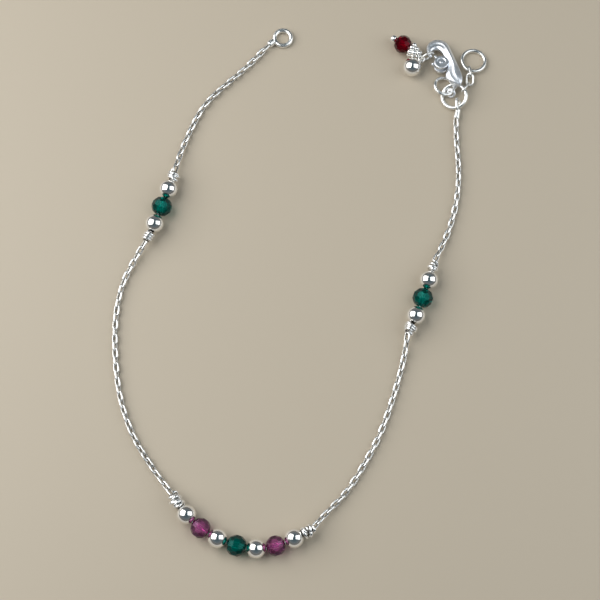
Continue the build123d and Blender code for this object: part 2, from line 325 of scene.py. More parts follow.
def silver(name, colour, rough_low, rough_high, bump, wave_scale, tarnish):
    """Bare silver: metallic, with a polish that varies and a slight uneven surface."""
    material, shader, nodes, links = new_finish(name)
    set_inputs(shader, {"Metallic": 1.0})
    where = nodes.new("ShaderNodeTexCoord")
    marks = nodes.new("ShaderNodeGroup")
    marks.node_tree = polish_marks
    set_inputs(marks, {"Wave Scale": wave_scale, "Roughness Low": rough_low,
                       "Roughness High": rough_high, "Dark Amount": tarnish})
    links.new(where.outputs["Object"], marks.inputs["Vector"])
    links.new(marks.outputs["Roughness"], shader.inputs["Roughness"])
    blend_colours(nodes, links, shader, (*colour, 1), TARNISH, marks.outputs["Tarnish"])
    dents = nodes.new("ShaderNodeBump")
    set_inputs(dents, {"Strength": bump, "Distance": dent_depth})
    links.new(marks.outputs["Height"], dents.inputs["Height"])
    links.new(dents.outputs["Normal"], shader.inputs["Normal"])
    return material


# colour, roughness from best polish to worst, bump, scale of the waves, and tarnish
ball_silver = silver("ball_silver", (0.95, 0.94, 0.92), 0.10, 0.19, 0.35, 500, 0.05)
chain_silver = silver("chain_silver", (0.96, 0.96, 0.95), 0.20, 0.36, 0.5, 1500, 0.08)
wrap_silver = silver("wrap_silver", (0.95, 0.95, 0.94), 0.10, 0.26, 0.5, 1500, 0.12)
ring_silver = silver("ring_silver", (0.95, 0.95, 0.93), 0.18, 0.34, 0.5, 700, 0.12)
# the clasp's cool blue tint is painted reflection: it stands in for the bluish light its
# polish shows
clasp_silver = silver("clasp_silver", (0.90, 0.93, 0.98), 0.27, 0.45, 0.25, 380, 0.10)
# a darker silver for the faces inside the chain's links: painted shade in the slots
link_shade_silver = silver("link_shade_silver", (0.34, 0.33, 0.31), 0.28, 0.45, 0.5, 1500, 0.3)
# a dark silver for the cores inside the wraps and the granule cap: painted shade between
# strands and granules
shade_core_silver = silver("shade_core_silver", (0.16, 0.15, 0.14), 0.35, 0.55, 0.6, 900, 0.5)
print("silver finishes:", [m.name for m in bpy.data.materials if m.name.endswith("silver")])

# %% Cut glass
def cut_glass(name, heart, edge, glint, rough):
    """Tinted glass with tinted glints, darker from its heart to its edge as painted shade,
    and with a random cloudy tone.
    """
    material, shader, nodes, links = new_finish(name)
    set_inputs(shader, {"Transmission Weight": 0.85, "IOR": 1.52, "Roughness": rough,
                        "Specular Tint": (*glint, 1)})
    # painted shade: the more a face turns from the view, the nearer its colour goes to the
    # dark edge colour
    rim = nodes.new("ShaderNodeLayerWeight")
    set_inputs(rim, {"Blend": 0.86})
    where = nodes.new("ShaderNodeTexCoord")
    cloud = nodes.new("ShaderNodeTexNoise")
    set_inputs(cloud, {"Scale": 450, "Detail": 1.0})
    links.new(where.outputs["Object"], cloud.inputs["Vector"])
    depth = nodes.new("ShaderNodeMapRange")
    set_inputs(depth, {"To Min": -0.15, "To Max": 0.25})
    links.new(cloud.outputs["Fac"], depth.inputs["Value"])
    shade_and_cloud = nodes.new("ShaderNodeMath")
    shade_and_cloud.operation = "ADD"
    shade_and_cloud.use_clamp = True
    links.new(rim.outputs["Facing"], shade_and_cloud.inputs[0])
    links.new(depth.outputs["Result"], shade_and_cloud.inputs[1])
    blend_colours(nodes, links, shader, (*heart, 1), (*edge, 1), shade_and_cloud.outputs["Value"])
    return material


# colour at the heart, darker colour at the edge as painted shade, colour of the glints, and
# roughness
green_glass = cut_glass("green_glass", (0.0, 0.43, 0.36), (0.0, 0.016, 0.015),
                        (0.1, 0.45, 0.42), 0.06)
purple_glass = cut_glass("purple_glass", (1.0, 0.32, 0.74), (0.06, 0.002, 0.03),
                         (0.9, 0.5, 0.85), 0.03)
red_glass = cut_glass("red_glass", (0.50, 0.0, 0.022), (0.04, 0.0, 0.004),
                      (0.8, 0.15, 0.2), 0.05)
print("glass:", [m.name for m in bpy.data.materials if m.name.endswith("glass")])

# %% Give each solid node its finish by its kind
FINISH_OF = {"ball": ball_silver, "coil": wrap_silver, "thread": wrap_silver,
             "green": green_glass, "purple": purple_glass, "red": red_glass,
             "clasp": clasp_silver, "chain": chain_silver, "granule": wrap_silver,
             "pin": wrap_silver}


def finish_for(name):
    """The material that a solid node's name asks for."""
    for word, material in FINISH_OF.items():
        if word in name:
            return material
    return ring_silver


for name, node in frame["nodes"].items():
    node.data.materials.clear()
    node.data.materials.append(finish_for(name))
print("solid nodes with a finish:", len(frame["nodes"]))

# %% [markdown]
# ## Chain
# The chain is a cable chain: oval links of round wire, each turned a quarter against the
# last. It could be drawn as a textured tube, but the light through the links is what
# makes a fine chain look fine. One link is modelled, and copies of it are laid along the
# chain's route, about a hundred and fourteen in all. The faces inside each link get a
# darker finish: painted shade for the shadowed slots between the links.

# %% One oval link
link_long, link_wide, link_wire = 2.5, 1.42, 0.46
# faces that look this squarely into the hole get the darker finish, as painted shade
looks_inward = 0.55  # how squarely a face of the link looks into the hole to be dull


def torus_of_wire(dia, wire, around, section):
    """A torus by its outside diameter and its wire, in mm, its hole along Z."""
    return added(bpy.ops.mesh.primitive_torus_add,
                 major_segments=around, minor_segments=section,
                 major_radius=(dia - wire) / 2 * MM, minor_radius=wire / 2 * MM)


def oval_of_wire(long, wide, wire, around=24, section=10):
    """A ring of wire pulled out to an oval, long along X, its hole along Z."""
    link = torus_of_wire(wide, wire, around, section)
    bpy.ops.object.mode_set(mode="EDIT")
    stretch = (long - wide) / 2 * MM
    off_middle = 0.01 * wire * MM
    for side in (1, -1):
        pick_verts(link, lambda place: place.x * side > off_middle)
        bpy.ops.transform.translate(value=(stretch * side, 0, 0))
    bpy.ops.object.mode_set(mode="OBJECT")
    bpy.ops.object.shade_smooth()
    return link


def shade_link_inside(link, long, wide):
    """Give the faces that look into the hole of an oval the darker finish, as painted shade.
    """
    reach = (long - wide) / 2 * MM
    for face in link.data.polygons:
        x, y, _ = face.center
        inward = Vector((max(-reach, min(reach, x)) - x, -y, 0)).normalized()
        face.material_index = int(face.normal.dot(inward) > looks_inward)


link_model = oval_of_wire(link_long, link_wide, link_wire)
link_model.data.materials.append(chain_silver)
link_model.data.materials.append(link_shade_silver)
shade_link_inside(link_model, link_long, link_wide)
print("one link:", len(link_model.data.polygons), "faces,",
      [round(d / MM, 2) for d in link_model.dimensions], "mm")

# %% Routes of the four stretches of chain
# Each point is x, y, z in millimetres. The chain lies on the table and rises to meet the
# thread of a bead group at each of its ends.
LYING, RISING, THREADED = 0.69, 1.2, 2.15  # heights of the chain's middle line
CHAIN_ROUTES = {
    "chain_left_upper": [(-7.6, 52.7, 0.8), (-12.0, 47.8, LYING), (-16.8, 43.6, LYING),
                         (-21.3, 39.1, LYING), (-24.2, 33.0, LYING), (-26.2, 27.5, RISING),
                         (-26.97, 23.86, THREADED)],
    "chain_left_lower": [(-32.76, 8.4, THREADED), (-34.7, 5.3, RISING), (-37.6, -0.3, LYING),
                         (-38.8, -7.5, LYING), (-38.6, -15.5, LYING), (-37.4, -24.5, LYING),
                         (-34.4, -32.4, LYING), (-30.6, -38.2, LYING), (-28.3, -41.3, RISING),
                         (-26.16, -44.01, THREADED)],
    "chain_right_lower": [(1.89, -50.65, THREADED), (4.0, -48.1, RISING), (8.6, -43.6, LYING),
                          (12.4, -37.6, LYING), (15.6, -31.6, LYING), (18.2, -24.4, LYING),
                          (20.0, -18.2, LYING), (20.85, -14.6, RISING),
                          (21.28, -11.31, THREADED)],
    "chain_right_upper": [(27.16, 4.2, THREADED), (28.6, 7.0, RISING), (30.9, 12.4, LYING),
                          (32.5, 19.0, LYING), (32.85, 25.4, LYING), (32.4, 31.6, LYING),
                          (32.5, 35.7, 0.85)],
}


def curve_through(name, points, order, steps):
    """A smooth curve drawn by a row of points, in mm, from the first to the last."""
    curve = bpy.data.curves.new(name, "CURVE")
    curve.dimensions = "3D"
    curve.resolution_u = steps
    spline = curve.splines.new("NURBS")
    spline.points.add(len(points) - 1)
    for knot, point in zip(spline.points, points):
        knot.co = (*(Vector(point) * MM), 1)
    spline.order_u = order
    spline.use_endpoint_u = True
    return bpy.data.objects.new(name, curve)


def smooth_line(points):
    """Points along the smooth curve that a route draws, read back from Blender."""
    holder = curve_through("route", points, order=3, steps=24)
    mesh = bpy.data.meshes.new_from_object(holder)
    line = [vert.co.copy() for vert in mesh.vertices]
    bpy.data.objects.remove(holder)
    return line


def along(line):
    """A function of the distance along a line, giving the place and direction there."""
    runs = [(b - a).length for a, b in zip(line, line[1:])]

    def at(distance):
        left = distance
        for number, run in enumerate(runs):
            if left <= run or number == len(runs) - 1:
                share = left / run
                way = line[number + 1] - line[number]
                return line[number] + way * share, way.normalized()
            left -= run

    return at, sum(runs)


routes = {name: along(smooth_line(points)) for name, points in CHAIN_ROUTES.items()}
print("chain lengths:", {name: round(length / MM, 1) for name, (_, length) in routes.items()})

# %% Lay the links
# The chain is never laid perfectly flat: its roll drifts as it lies. The numbers are the
# roll in degrees at even steps from the start of each stretch to its end.
link_pitch, roll_shake = 1.5, 7
ROLLS = {"chain_left_upper": (42, 38, 34, 30, 36, 44),
         "chain_left_lower": (45, 44, 34, 28, 28, 36, 45, 42, 45),
         "chain_right_lower": (38, 32, 29, 28, 30, 36, 42, 45),
         "chain_right_upper": (40, 32, 30, 38, 45)}


def lay_chain(name, rolls):
    """Copies of the link along a route, each turned a quarter from the last."""
    at, length = routes[name]
    count = round(length / (link_pitch * MM))
    step = length / count
    shaker = random.Random(name)
    pieces = []
    for number in range(count):
        place, way = at((number + 0.5) * step)
        reach = (number + 0.5) / count * (len(rolls) - 1)
        before = int(reach)
        roll = rolls[before] + (rolls[before + 1] - rolls[before]) * (reach - before)
        roll += 90 * (number % 2) + shaker.uniform(-roll_shake, roll_shake)
        upright = (Vector((0, 0, 1)) - way * way.z).normalized()
        hole = Matrix.Rotation(math.radians(roll), 3, way) @ upright
        pieces.append(copy_of(link_model, f"{name}_link", pose_matrix(place, hole, way)))
    keep_piece(joined(pieces, f"{name}_links"), None, "oval_link_chain", name)
    return count


links_laid = {name: lay_chain(name, rolls) for name, rolls in ROLLS.items()}
print("links:", links_laid, "in all", sum(links_laid.values()))
bpy.data.objects.remove(link_model)

# %% [markdown]
# ## Silver balls
# A silver bead is a thin hollow ball with a hole right through for the thread. A sphere
# is the obvious start, but a sphere alone has no hole and shows it at once from the side.
# The faces round each pole are taken out, and the two openings are joined by a tube.

# %% One silver ball
ball_dia, hole_dia = 3.9, 0.8
sharp_rim = math.radians(40)  # an edge that turns by more than this stays sharp


def bored_ball(dia, hole):
    """A ball with a hole along Z, joined through from pole to pole."""
    ball = added(bpy.ops.mesh.primitive_uv_sphere_add, segments=48, ring_count=40,
                 radius=dia / 2 * MM)
    bpy.ops.object.mode_set(mode="EDIT")
    pick_verts(ball, lambda place: math.hypot(place.x, place.y) < hole / 2 * MM)
    bpy.ops.mesh.delete(type="VERT")
    mesh = bmesh.from_edit_mesh(ball.data)
    for edge in mesh.edges:
        edge.select_set(edge.is_boundary)
    bmesh.update_edit_mesh(ball.data)
    bpy.ops.mesh.bridge_edge_loops()
    bpy.ops.mesh.select_all(action="SELECT")
    bpy.ops.mesh.normals_make_consistent(inside=False)
    bpy.ops.object.mode_set(mode="OBJECT")
    bpy.ops.object.shade_smooth_by_angle(angle=sharp_rim)
    return ball


ball_model = bored_ball(ball_dia, hole_dia)
print("one ball:", len(ball_model.data.polygons), "faces")

# %% Thread the balls
# The angle is the heading of the thread through each ball, in degrees from +X.
THREADED_BALLS = {"left_silver_ball_1": -108, "left_silver_ball_3": -111.5,
                  "bottom_silver_ball_1": -50, "bottom_silver_ball_3": -25.5,
                  "bottom_silver_ball_5": 0, "bottom_silver_ball_7": 26,
                  "right_silver_ball_1": 66.5, "right_silver_ball_3": 71.5}

for node, angle in THREADED_BALLS.items():
    ball = copy_of(ball_model, f"{node}_polished", pose_matrix(middle(node), heading(angle)))
    keep_piece(ball, ball_silver, "polished_ball", node)
bpy.data.objects.remove(ball_model)
print("balls threaded:", len(THREADED_BALLS))

# %% [markdown]
# ## Wire
# The wraps at both ends of a bead group are the thread's own ends, wound round the last
# link by hand, so no two are alike: one is three neat turns, another is a loose tangle.
# A torus for each turn would look machined. A smooth curve with a round bevel follows
# the hand's path, and a seeded shake moves its points a little.

# %% Pieces of wire and rod
weld_distance = 0.001 * MM
sharp_end = math.radians(50)  # keeps the cut end of a wire crisp


def wire_piece(name, points, wire):
    """Round wire of one thickness along a smooth curve through a row of points, in mm."""
    holder = curve_through(name, points, order=4, steps=8)
    holder.data.bevel_depth = wire / 2 * MM
    holder.data.bevel_resolution = 3
    holder.data.use_fill_caps = True
    bpy.context.scene.collection.objects.link(holder)
    select_only(holder)
    bpy.ops.object.convert(target="MESH")
    piece = bpy.context.object
    bpy.ops.object.mode_set(mode="EDIT")
    bpy.ops.mesh.select_all(action="SELECT")
    bpy.ops.mesh.remove_doubles(threshold=weld_distance)
    bpy.ops.mesh.normals_make_consistent(inside=False)
    bpy.ops.object.mode_set(mode="OBJECT")
    bpy.ops.object.shade_smooth_by_angle(angle=sharp_end)
    return piece


def turned_rod(start, end, radius_start, radius_end, around=28):
    """A round rod or cone between two points, in mm, with closed ends."""
    start, end = Vector(start) * MM, Vector(end) * MM
    rod = added(bpy.ops.mesh.primitive_cone_add, vertices=around,
                radius1=radius_start * MM, radius2=radius_end * MM,
                depth=(end - start).length)
    settle(rod, pose_matrix((start + end) / 2, end - start))
    return rod


print("wire and rod helpers are ready")

# %% Wind the wraps
# Each wrap has a heading, the length of the thread end inside it, darkened as painted shade
# between the strands, and its strands: turns (negative is left-handed), the levels along
# the thread where the strand starts and ends, its radius, how far a turn leans, and how far
# the strand is pushed to one side.
wrap_wire, core_radius = 0.56, 0.62
points_a_turn, fewest_points = 10, 8
strand_shake, tucked_end, lean_phase = 0.07, 0.55, 0.6
WRAPS = {
    "left_coil_1": (-107, 1.9, [(2.2, -0.95, 0.35, 1.12, 0.34, 0.0),
                                (-1.3, -0.6, 0.6, 1.05, 0.60, -0.30),
                                (1.1, 0.3, 0.85, 0.85, 0.15, 0.15)]),
    "left_coil_2": (-118, 2.0, [(3.3, -0.95, 0.95, 1.02, 0.05, 0.0)]),
    "bottom_coil_1": (-56.5, 3.2, [(2.6, -1.5, 1.3, 0.95, 0.50, 0.05),
                                   (-2.4, -1.2, 1.5, 1.14, -0.55, -0.05),
                                   (1.0, -0.4, 0.3, 1.16, 0.6, 0.15)]),
    "bottom_coil_2": (31, 2.2, [(1.6, -1.05, -0.55, 1.14, 0.05, 0.0),
                                (-1.6, -0.4, 0.7, 1.0, 0.48, 0.0),
                                (1.2, 0.0, 1.0, 0.95, 0.55, 0.4)]),
    "right_coil_1": (64.5, 1.9, [(2.5, -0.45, 0.75, 1.28, 0.32, 0.05),
                                 (1.6, -1.0, -0.3, 0.92, 0.35, 0.0)]),
    "right_coil_2": (73.5, 1.6, [(1.7, -0.85, -0.2, 0.98, 0.10, 0.0),
                                 (-1.3, -0.1, 0.8, 0.8, 0.40, 0.1)]),
}


def strand_points(shaker, turns, start, end, radius, lean_by, push):
    """Points of one hand-wound strand about a thread that runs along Z, in mm."""
    count = max(fewest_points, round(abs(turns) * points_a_turn))
    hand = math.copysign(1, turns)
    phase = shaker.uniform(0, 2 * math.pi)
    points = []
    for number in range(count + 1):
        share = number / count
        turn = hand * 2 * math.pi * abs(turns) * share + phase
        reach = radius * (1 + shaker.uniform(-strand_shake, strand_shake))
        if number in (0, count):
            reach = radius * tucked_end
        level = start + (end - start) * share + lean_by * math.cos(turn + lean_phase)
        points.append((reach * math.cos(turn), reach * math.sin(turn) + push, level))
    return points


def wind(node, angle, inside, strands):
    """The strands of one wrap, joined, where the solid model has a ribbed sleeve."""
    shaker = random.Random(node)
    # the thread's end inside the wrap, in a dark finish: painted shade between the strands
    core = turned_rod((0, 0, -inside / 2), (0, 0, inside / 2), core_radius, core_radius,
                      around=20)
    core.data.materials.append(shade_core_silver)
    wires = [core]
    for strand in strands:
        wire = wire_piece(f"{node}_strand", strand_points(shaker, *strand), wrap_wire)
        wire.data.materials.append(wrap_silver)
        wires.append(wire)
    wrap = joined(wires, f"{node}_wound")
    settle(wrap, pose_matrix(middle(node), heading(angle)))
    keep_piece(wrap, None, "wrapped_wire", node)


for node, row in WRAPS.items():
    wind(node, *row)
print("wraps wound:", len(WRAPS))

# %% [markdown]
# ## Rings
# A jump ring is bent from round wire and its two ends meet at a butt joint. A plain
# torus has no joint. Here a torus is cut across three times close together, and the
# middle cut is drawn in, which leaves the fine groove where the ends meet.

# %% Jump rings
# in mm: where the joint is cut across, half its width, how exact each cut is, and how near
# to the middle cut a point has to be to be drawn in
joint_at, joint_half, cut_tolerance, pick_within = 0.03, 0.08, 0.0005, 0.004
joint_draw = 0.86  # the share of the wire that is left at the bottom of the groove


def jump_ring(dia, wire, around=72, section=16):
    """A round wire ring, its hole along Z, with the groove of its joint on +X."""
    ring = torus_of_wire(dia, wire, around, section)
    bpy.ops.object.mode_set(mode="EDIT")
    for level in (joint_at - joint_half, joint_at, joint_at + joint_half):
        bpy.ops.mesh.select_all(action="SELECT")
        bpy.ops.mesh.bisect(plane_co=(0, level * MM, 0), plane_no=(0, 1, 0),
                            threshold=cut_tolerance * MM)
    pick_verts(ring, lambda place: (abs(place.y - joint_at * MM) < pick_within * MM
                                    and place.x > 0))
    centre = Vector(((dia - wire) / 2 * MM, joint_at * MM, 0))
    bpy.ops.transform.resize(value=(joint_draw, 1, joint_draw), center_override=centre)
    bpy.ops.object.mode_set(mode="OBJECT")
    bpy.ops.object.shade_smooth()
    return ring


def leaning(angle, slope):
    """Normal of a ring whose side at that heading, in degrees, is raised by the slope."""
    turn = math.radians(angle)
    return Vector((-slope * math.cos(turn), -slope * math.sin(turn), 1))


# centre, hole direction, outside diameter, wire, and the joint's heading in degrees
JUMP_RINGS = {
    "jump_ring_large": ((32.2, 40.95, 1.09), leaning(20, 0.26), 5.96, 0.82, -150),
    "jump_ring_small": ((30.17, 43.28, 0.93), leaning(-140, 0.27), 4.82, 0.76, 150),
    "extender_ring": ((36.61, 49.22, 0.685), leaning(-127, 0.106), 5.8, 0.84, 35),
    "charm_ring": ((26.67, 49.85, 1.69), heading(294), 3.36, 0.52, 20),
}
for node, (centre, normal, dia, wire, joint) in JUMP_RINGS.items():
    ring = jump_ring(dia, wire)
    settle(ring, pose_matrix(Vector(centre) * MM, normal, heading(joint)))
    ring.name = ring.data.name = f"{node}_closed"
    keep_piece(ring, ring_silver, "ring_wire", node)
print("rings:", list(JUMP_RINGS))

# %% Extender links
def turned(centre, angle, climb, roll):
    """Place of an oval: long along a heading that climbs, then rolled about that line."""
    turn = (Matrix.Rotation(math.radians(angle), 4, "Z")
            @ Matrix.Rotation(math.radians(-climb), 4, "Y")
            @ Matrix.Rotation(math.radians(roll), 4, "X"))
    return Matrix.Translation(Vector(centre) * MM) @ turn


extender_long, extender_wide, extender_wire = 3.0, 1.9, 0.5
# centre, then heading, climb and roll in degrees
EXTENDER_LINKS = {"extender_link_1": ((35.62, 46.54, 1.02), 94, -7, 98),
                  "extender_link_2": ((35.69, 44.87, 0.84), 89, 15.5, -18),
                  "extender_link_3": ((34.57, 42.73, 1.60), 51, -15, 98)}
for node, row in EXTENDER_LINKS.items():
    link = oval_of_wire(extender_long, extender_wide, extender_wire, around=40, section=12)
    settle(link, turned(*row))
    link.name = link.data.name = f"{node}_oval"
    keep_piece(link, ring_silver, "ring_wire", node)
print("extender links:", list(EXTENDER_LINKS))

# %% Soldered joints
# Where two pieces are soldered, silver flows into the corner between them. The pieces
# are joined, melted into one skin by a voxel remesh, and smoothed, which fills it.
def soldered(parts, name, grain, passes):
    """Overlapping parts melted into one smooth skin. grain is the voxel size in mm."""
    piece = joined(parts, name)
    melt = piece.modifiers.new("melt", "REMESH")
    melt.mode = "VOXEL"
    melt.voxel_size = grain * MM
    melt.use_smooth_shade = True
    bpy.ops.object.modifier_apply(modifier="melt")
    flow = piece.modifiers.new("flow", "SMOOTH")
    flow.factor = 0.5
    flow.iterations = passes
    bpy.ops.object.modifier_apply(modifier="flow")
    return piece


lip_long, lip_radius, collar_start, collar_radius = 0.20, 0.54, 0.18, 0.75


def lipped_collar(foot, way, top, top_radius):
    """A round collar from its foot to its top, with a short sloping lip at the foot."""
    lip = turned_rod(foot, foot + way * lip_long, lip_radius, collar_radius)
    body = turned_rod(foot + way * collar_start, top, collar_radius, top_radius)
    return [lip, body]


print("soldering helpers are ready")

# %% The plain ring that ends the left-hand chain
end_ring_at = Vector((-4.4, 54.6, 0.52))
end_ring_dia, end_ring_wire = 4.56, 1.02
collar_way, collar_gap, collar_long, collar_top_radius = heading(42), 0.08, 1.7, 0.62
band_start, band_end, band_radius = 0.3, 1.2, 0.79
collar_foot = Vector(CHAIN_ROUTES["chain_left_upper"][0]) + collar_way * collar_gap
hoop = jump_ring(end_ring_dia, end_ring_wire)
settle(hoop, pose_matrix(end_ring_at * MM, (0, 0, 1), heading(-60)))
collar = lipped_collar(collar_foot, collar_way, collar_foot + collar_way * collar_long,
                       collar_top_radius)
band = turned_rod(collar_foot + collar_way * band_start, collar_foot + collar_way * band_end,
                  band_radius, band_radius)
end_ring = soldered([hoop, *collar, band], "end_ring_soldered", grain=0.05, passes=12)
keep_piece(end_ring, ring_silver, "ring_wire", "end_ring")
print("end ring:", len(end_ring.data.polygons), "faces")

# %% The loop that ends the right-hand chain
loop_at = Vector((33.0, 39.02, 1.09))
loop_place = turned(loop_at, angle=88.8, climb=0.9, roll=60)
loop_long, loop_wide, loop_wire = 3.28, 2.31, 0.64
cone_reach, cone_gap, cone_top_radius = 1.1, 0.16, 0.58
end_oval = oval_of_wire(loop_long, loop_wide, loop_wire, around=40, section=12)
settle(end_oval, loop_place)
cone_top = loop_at - loop_place.to_3x3().col[0] * cone_reach
chain_end = Vector(CHAIN_ROUTES["chain_right_upper"][-1])
cone_way = (cone_top - chain_end).normalized()
cone = lipped_collar(chain_end + cone_way * cone_gap, cone_way, cone_top, cone_top_radius)
chain_loop = soldered([end_oval, *cone], "chain_end_loop_soldered", grain=0.05, passes=10)
keep_piece(chain_loop, ring_silver, "ring_wire", "chain_end_loop")
print("chain end loop:", len(chain_loop.data.polygons), "faces")

# %% [markdown]
# ## Charms
# Two small charms hang on the clasp's ring: a headed pin that carries a red bead and a
# cap built of silver granules, and a polished ball. Granulation is done by fusing tiny
# balls in rows. A bump map would stay flat at the edge, so real granules are placed, a
# row at a time, each row with fewer granules than the last.

# %% Granule cap
pin_way = heading(-34)
pin_start = Vector((19.5, 53.8, 1.93))
granule_dia, granule_flatness = 1.26, 0.94
cap_start, cap_end, core_foot, core_tip = 3.95, 6.4, 1.1, 0.45
place_shake, smallest, largest = 0.12, 0.88, 1.06
# distance along the pin, distance from it, and how many granules
GRANULE_ROWS = [(4.55, 1.10, 6), (5.44, 0.90, 5), (6.26, 0.48, 3)]


def make_taller(obj, times):
    """Stretch a mesh along its own Z, or flatten it."""
    bpy.ops.object.mode_set(mode="EDIT")
    bpy.ops.mesh.select_all(action="SELECT")
    bpy.ops.transform.resize(value=(1, 1, times))
    bpy.ops.object.mode_set(mode="OBJECT")


def granule():
    """One granule, slightly flattened where it fused."""
    ball = added(bpy.ops.mesh.primitive_ico_sphere_add, subdivisions=3,
                 radius=granule_dia / 2 * MM)
    make_taller(ball, granule_flatness)
    bpy.ops.object.shade_smooth()
    ball.data.materials.append(wrap_silver)
    return ball


def granule_cap():
    """Rows of granules, each a little off its place and size, round a dark core that is
    painted shade between them.
    """
    core = turned_rod(pin_start + pin_way * cap_start, pin_start + pin_way * cap_end,
                      core_foot, core_tip)
    core.data.materials.append(shade_core_silver)
    model = granule()
    parts = [core]
    shaker = random.Random("granules")
    for row, (distance, reach, count) in enumerate(GRANULE_ROWS):
        for number in range(count):
            off = row / 2 + shaker.uniform(-place_shake, place_shake)
            turn = 2 * math.pi * (number + off) / count
            size = shaker.uniform(smallest, largest)
            aside = Vector((math.cos(turn), math.sin(turn), 0)) * reach * MM
            place = (pose_matrix((pin_start + pin_way * distance) * MM, pin_way)
                     @ Matrix.Translation(aside) @ Matrix.Diagonal((size, size, size, 1)))
            parts.append(copy_of(model, "granule", place))
    bpy.data.objects.remove(model)
    return joined(parts, "granule_cap_fused")


keep_piece(granule_cap(), None, "wrapped_wire", "granule_cap")
print("granules:", sum(count for _, _, count in GRANULE_ROWS))

# %% Headed pin
# Both charms hang from one place on the charm ring.
charm_ring_reach = 1.44
hang_at = Vector(JUMP_RINGS["charm_ring"][0]) + heading(204) * charm_ring_reach
charm_loop_dia, charm_loop_wire = 1.6, 0.44
pin_long, pin_radius, pin_head_radius = 7.0, 0.25, 0.82


def round_ball(centre, radius, segments, rings):
    """A smooth ball about a point, in mm."""
    ball = added(bpy.ops.mesh.primitive_uv_sphere_add, segments=segments, ring_count=rings,
                 radius=radius * MM, location=centre * MM)
    settle(ball)
    bpy.ops.object.shade_smooth()
    return ball


def charm_loop(level, joint):
    """The loop that a charm hangs by, flat at a height in mm, and its middle."""
    centre = Vector((hang_at.x, hang_at.y, level))
    loop = jump_ring(charm_loop_dia, charm_loop_wire, around=40, section=12)
    settle(loop, pose_matrix(centre * MM, (0, 0, 1), heading(joint)))
    return loop, centre


pin_loop, _ = charm_loop(1.93, 30)
shank = turned_rod(pin_start, pin_start + pin_way * pin_long, pin_radius, pin_radius)
pin_head = round_ball(pin_start, pin_head_radius, segments=28, rings=20)
keep_piece(joined([pin_head, shank, pin_loop], "head_pin_bent"), ball_silver,
           "wrapped_wire", "head_pin")
print("charms hang at", [round(c, 2) for c in hang_at])

# %% Charm ball
charm_ball_at, charm_ball_dia = Vector((23.32, 47.28, 2.0)), 4.0
neck_start, neck_wide, neck_narrow = 1.7, 0.42, 0.25
ball_loop, ball_loop_at = charm_loop(1.31, -60)
flat_way = Vector((ball_loop_at.x - charm_ball_at.x, ball_loop_at.y - charm_ball_at.y, 0))
loop_edge = ball_loop_at - flat_way.normalized() * (charm_loop_dia - charm_loop_wire) / 2
neck_way = (loop_edge - charm_ball_at).normalized()
neck = turned_rod(charm_ball_at + neck_way * neck_start, loop_edge, neck_wide, neck_narrow)
charm_ball = round_ball(charm_ball_at, charm_ball_dia / 2, segments=56, rings=40)
keep_piece(joined([charm_ball, neck, ball_loop], "charm_ball_hung"), ball_silver,
           "polished_ball", "charm_ball")
print("charm ball:", charm_ball_dia, "mm across")

# %% [markdown]
# ## Lobster clasp
# The clasp is cast in one piece and polished: a hook with a bevelled face, a thick spine
# with a ridge along it, two round cheeks that hold the lever's pin, and a small loop at
# the tail. Cutting it from a flat plate would give it flat sides, which polished silver
# shows as dead grey patches. So the hook and spine are one long tube whose rings are
# pulled to their place one by one, each with its own width, thickness and ridge.

# %% The clasp's own plane
clasp_turn, clasp_lean = math.radians(20.4), math.radians(8)
clasp_pivot = Vector((29.5, 47.8, 1.97))
clasp_x = Vector((math.cos(clasp_turn), math.sin(clasp_turn), 0))
clasp_level = Vector((-math.sin(clasp_turn), math.cos(clasp_turn), 0))
clasp_y = clasp_level * math.cos(clasp_lean) - Vector((0, 0, math.sin(clasp_lean)))
clasp_z = clasp_x.cross(clasp_y)
clasp_place = (Matrix.Translation(clasp_pivot * MM)
               @ Matrix((clasp_x, clasp_y, clasp_z)).transposed().to_4x4())
print("clasp pivot at", list(clasp_pivot), "mm")

# %% Hook and spine
# Each row is a ring of the tube: its outer point, its inner point, half its thickness, and
# how much of a ridge it has (0 round with a bevel line, 1 a roof with flat flanks).
CLASP_RINGS = [
    ((-1.46, 2.36), (-1.16, 2.36), 0.22, 0), ((-1.72, 2.52), (-1.00, 2.50), 0.50, 0),
    ((-1.92, 3.10), (-0.98, 2.95), 0.64, 0), ((-1.62, 4.87), (-0.84, 3.49), 0.68, 0),
    ((-0.66, 5.83), (-0.46, 3.72), 0.68, 0), ((0.66, 6.18), (0.08, 3.76), 0.68, 0),
    ((1.98, 5.83), (0.54, 3.62), 0.72, 0), ((2.94, 4.87), (0.90, 3.30), 0.86, 0.2),
    ((3.27, 3.80), (1.08, 2.90), 1.02, 0.5), ((3.26, 2.40), (1.20, 2.00), 1.20, 0.8),
    ((3.25, 0.80), (1.20, 0.60), 1.25, 0.8), ((3.23, -0.80), (1.15, -0.80), 1.25, 0.75),
    ((3.21, -1.90), (0.75, -1.75), 1.24, 0.65), ((3.20, -2.70), (0.05, -2.40), 1.18, 0.5),
    ((3.18, -3.60), (-0.42, -3.20), 1.08, 0.4), ((3.08, -4.45), (-0.12, -4.25), 0.96, 0.4),
    ((2.82, -5.20), (0.45, -5.00), 0.80, 0.3), ((2.42, -5.80), (1.00, -5.65), 0.56, 0.2),
    ((1.95, -6.08), (1.50, -6.05), 0.22, 0),
]
clasp_around = 32
# how the two outlines of a ring bulge, step, slope and stand
round_squareness, shoulder_step = 0.85, 0.86
roof_squareness, ridge_at, flank_drop, flank_curve, side_steepness = 0.8, 0.25, 0.58, 1.3, 2.6


def squared(wave, power):
    """A sine or cosine pushed out towards 1 and -1, which makes an oval squarer."""
    return math.copysign(abs(wave) ** power, wave)


